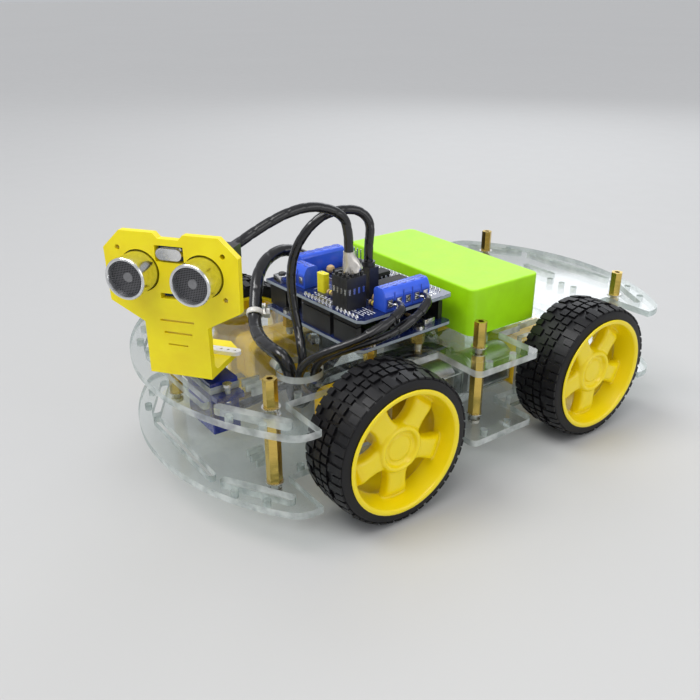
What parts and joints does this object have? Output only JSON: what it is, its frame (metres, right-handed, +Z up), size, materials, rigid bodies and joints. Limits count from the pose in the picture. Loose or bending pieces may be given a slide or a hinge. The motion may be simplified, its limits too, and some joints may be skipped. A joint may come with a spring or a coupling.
{
  "type": "wheeled robot chassis",
  "caption": "Wheeled robot chassis with clear twin decks, geared motors, a panning distance sensor head, stacked control boards and a battery box.",
  "frame": {"origin": "on the floor under the middle of the chassis, cables left out", "axes": "+Z up from the floor, +X to the robot's left, -Y the way the robot faces"},
  "size_m": [0.1518, 0.274, 0.1206],
  "materials": {
    "clear_acrylic": "clear polished acrylic",
    "brass": "machined",
    "screw_steel": "plated",
    "yellow_plastic": "moulded yellow",
    "printed_yellow": "printed vivid yellow",
    "motor_steel": "drawn steel",
    "tyre_rubber": "soft black rubber",
    "white_plastic": "white nylon",
    "servo_blue": "translucent blue",
    "board_blue": "solder mask",
    "terminal_blue": "moulded blue",
    "black_plastic": "black moulding",
    "tin": "tinned",
    "eye_metal": "satin",
    "lime_plastic": "printed lime",
    "cell_wrap": "shrink wrap",
    "cable_black": "black sheath",
    "clear_nylon": "natural nylon"
  },
  "bodies": {
    "chassis": {"battery_case": "lime_plastic", "battery_cells": "cell_wrap", "battery_lid": "lime_plastic", "board_posts": "brass", "cable_tie": "clear_nylon", "controller_board": "board_blue", "controller_chip": "black_plastic", "controller_headers": "black_plastic", "deck_pillars": "brass", "deck_screws": "screw_steel", "front_motor_lead": "cable_black", "gearbox_front_left": "yellow_plastic", "gearbox_front_right": "yellow_plastic", "gearbox_rear_left": "yellow_plastic", "gearbox_rear_right": "yellow_plastic", "lead_bundle": "cable_black", "lower_deck": "clear_acrylic", "motor_brackets": "clear_acrylic", "motor_fasteners": "screw_steel", "motor_front_left": "motor_steel", "motor_front_right": "motor_steel", "motor_junction": "black_plastic", "motor_rear_left": "motor_steel", "motor_rear_right": "motor_steel", "motor_straps": "clear_acrylic", "plug_sleeve": "tin", "power_jack": "black_plastic", "power_jumper": "yellow_plastic", "rear_motor_lead": "cable_black", "screw_terminals": "terminal_blue", "sensor_cable": "cable_black", "servo_cable": "cable_black", "servo_case": "servo_blue", "shield_board": "board_blue", "shield_chips": "black_plastic", "shield_pins": "black_plastic", "signal_plugs": "black_plastic", "upper_deck": "clear_acrylic", "upper_posts": "brass", "usb_socket": "tin"},
    "head": {"servo_shaft": "white_plastic", "servo_horn": "white_plastic", "sensor_bracket": "printed_yellow", "sensor_board": "board_blue", "sensor_eyes": "eye_metal", "sensor_crystal": "tin", "sensor_plug": "black_plastic"},
    "wheel_front_left": {"tyre_front_left": "tyre_rubber", "rim_front_left": "yellow_plastic", "output_shaft_front_left": "white_plastic"},
    "wheel_front_right": {"tyre_front_right": "tyre_rubber", "rim_front_right": "yellow_plastic", "output_shaft_front_right": "white_plastic"},
    "wheel_rear_left": {"tyre_rear_left": "tyre_rubber", "rim_rear_left": "yellow_plastic", "output_shaft_rear_left": "white_plastic"},
    "wheel_rear_right": {"tyre_rear_right": "tyre_rubber", "rim_rear_right": "yellow_plastic", "output_shaft_rear_right": "white_plastic"}
  },
  "joints": [
    {"name": "head_pan", "type": "hinge", "parent": "chassis", "child": "head", "pos_m": [0.0023, -0.10098, 0.0604], "axis": [0, 0, 1], "range_deg": [-127.2, 52.8], "deforming": ["sensor_cable"]},
    {"name": "wheel_front_left_spin", "type": "hinge", "parent": "chassis", "child": "wheel_front_left", "pos_m": [0.0629, -0.05248, 0.0325], "axis": [1, 0, 0], "continuous": true},
    {"name": "wheel_front_right_spin", "type": "hinge", "parent": "chassis", "child": "wheel_front_right", "pos_m": [-0.0629, -0.05248, 0.0325], "axis": [1, 0, 0], "continuous": true},
    {"name": "wheel_rear_left_spin", "type": "hinge", "parent": "chassis", "child": "wheel_rear_left", "pos_m": [0.0629, 0.06452, 0.0325], "axis": [1, 0, 0], "continuous": true},
    {"name": "wheel_rear_right_spin", "type": "hinge", "parent": "chassis", "child": "wheel_rear_right", "pos_m": [-0.0629, 0.06452, 0.0325], "axis": [1, 0, 0], "continuous": true}
  ]
}
